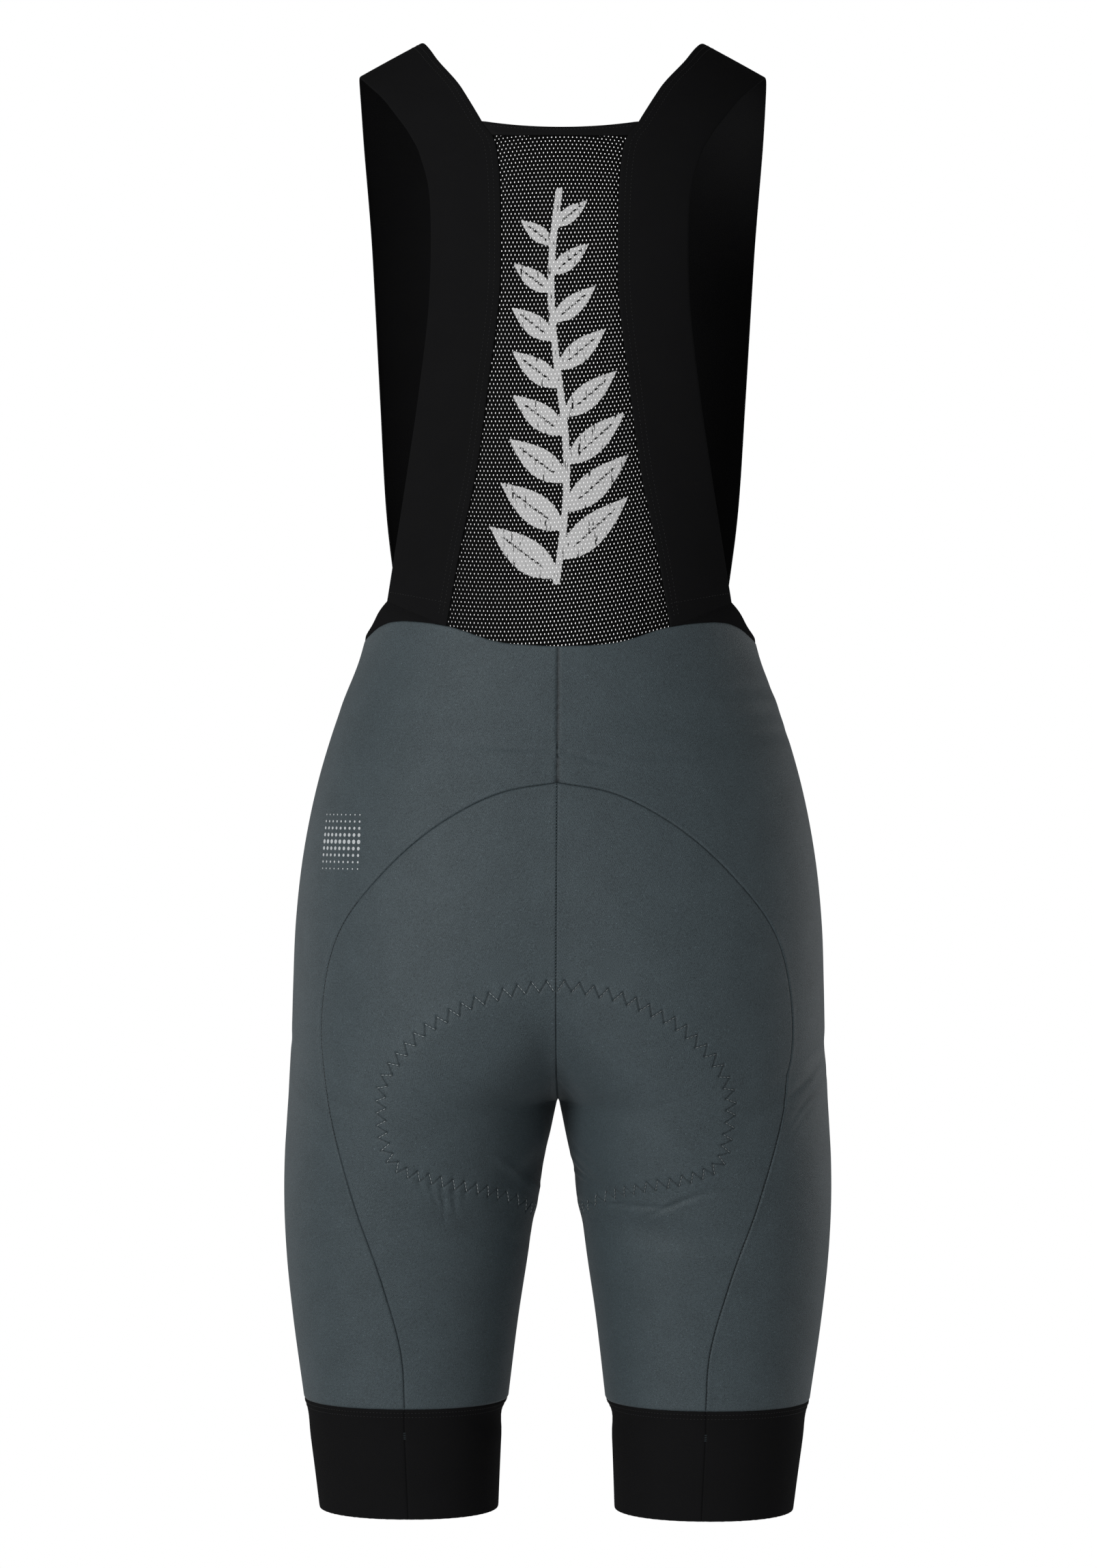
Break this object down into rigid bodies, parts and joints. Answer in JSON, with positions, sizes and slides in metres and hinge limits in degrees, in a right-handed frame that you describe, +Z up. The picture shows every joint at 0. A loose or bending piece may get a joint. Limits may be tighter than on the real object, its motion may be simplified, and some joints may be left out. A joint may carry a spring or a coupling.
{
  "type": "cycling bib shorts",
  "caption": "Close-fitting knee-length cycling shorts held up by wide shoulder straps, with a mesh back, a padded seat and elastic leg bands.",
  "frame": {"origin": "midway between the tops of the two shoulder straps, at the height of the straps' highest line, where the wearer's shoulders carry the garment", "axes": "+Z up, +Y towards the wearer's back, -Y towards the front, +X towards the wearer's left"},
  "size_m": [0.3486, 0.2304, 0.9319],
  "materials": {
    "slate_knit": "smooth two-way stretch knit in slate grey with a soft satin sheen",
    "black_knit": "matt black stretch knit",
    "black_net": "black warp-knit mesh with even oval holes",
    "black_binding": "narrow folded black elastic binding",
    "black_gripper": "black woven elastic with a raw-cut lower edge",
    "pad_knit": "brushed dark microfibre over foam"
  },
  "bodies": {
    "root": {"bib_side_left": "black_knit", "bib_side_right": "black_knit", "mesh_back_panel": "black_net", "neck_binding": "black_binding", "outer_panel_left": "slate_knit", "outer_panel_right": "slate_knit", "seat_panel_left": "slate_knit", "seat_panel_right": "slate_knit", "hem_band_left": "black_gripper", "hem_band_right": "black_gripper", "chamois_pad": "pad_knit"}
  },
  "joints": []
}
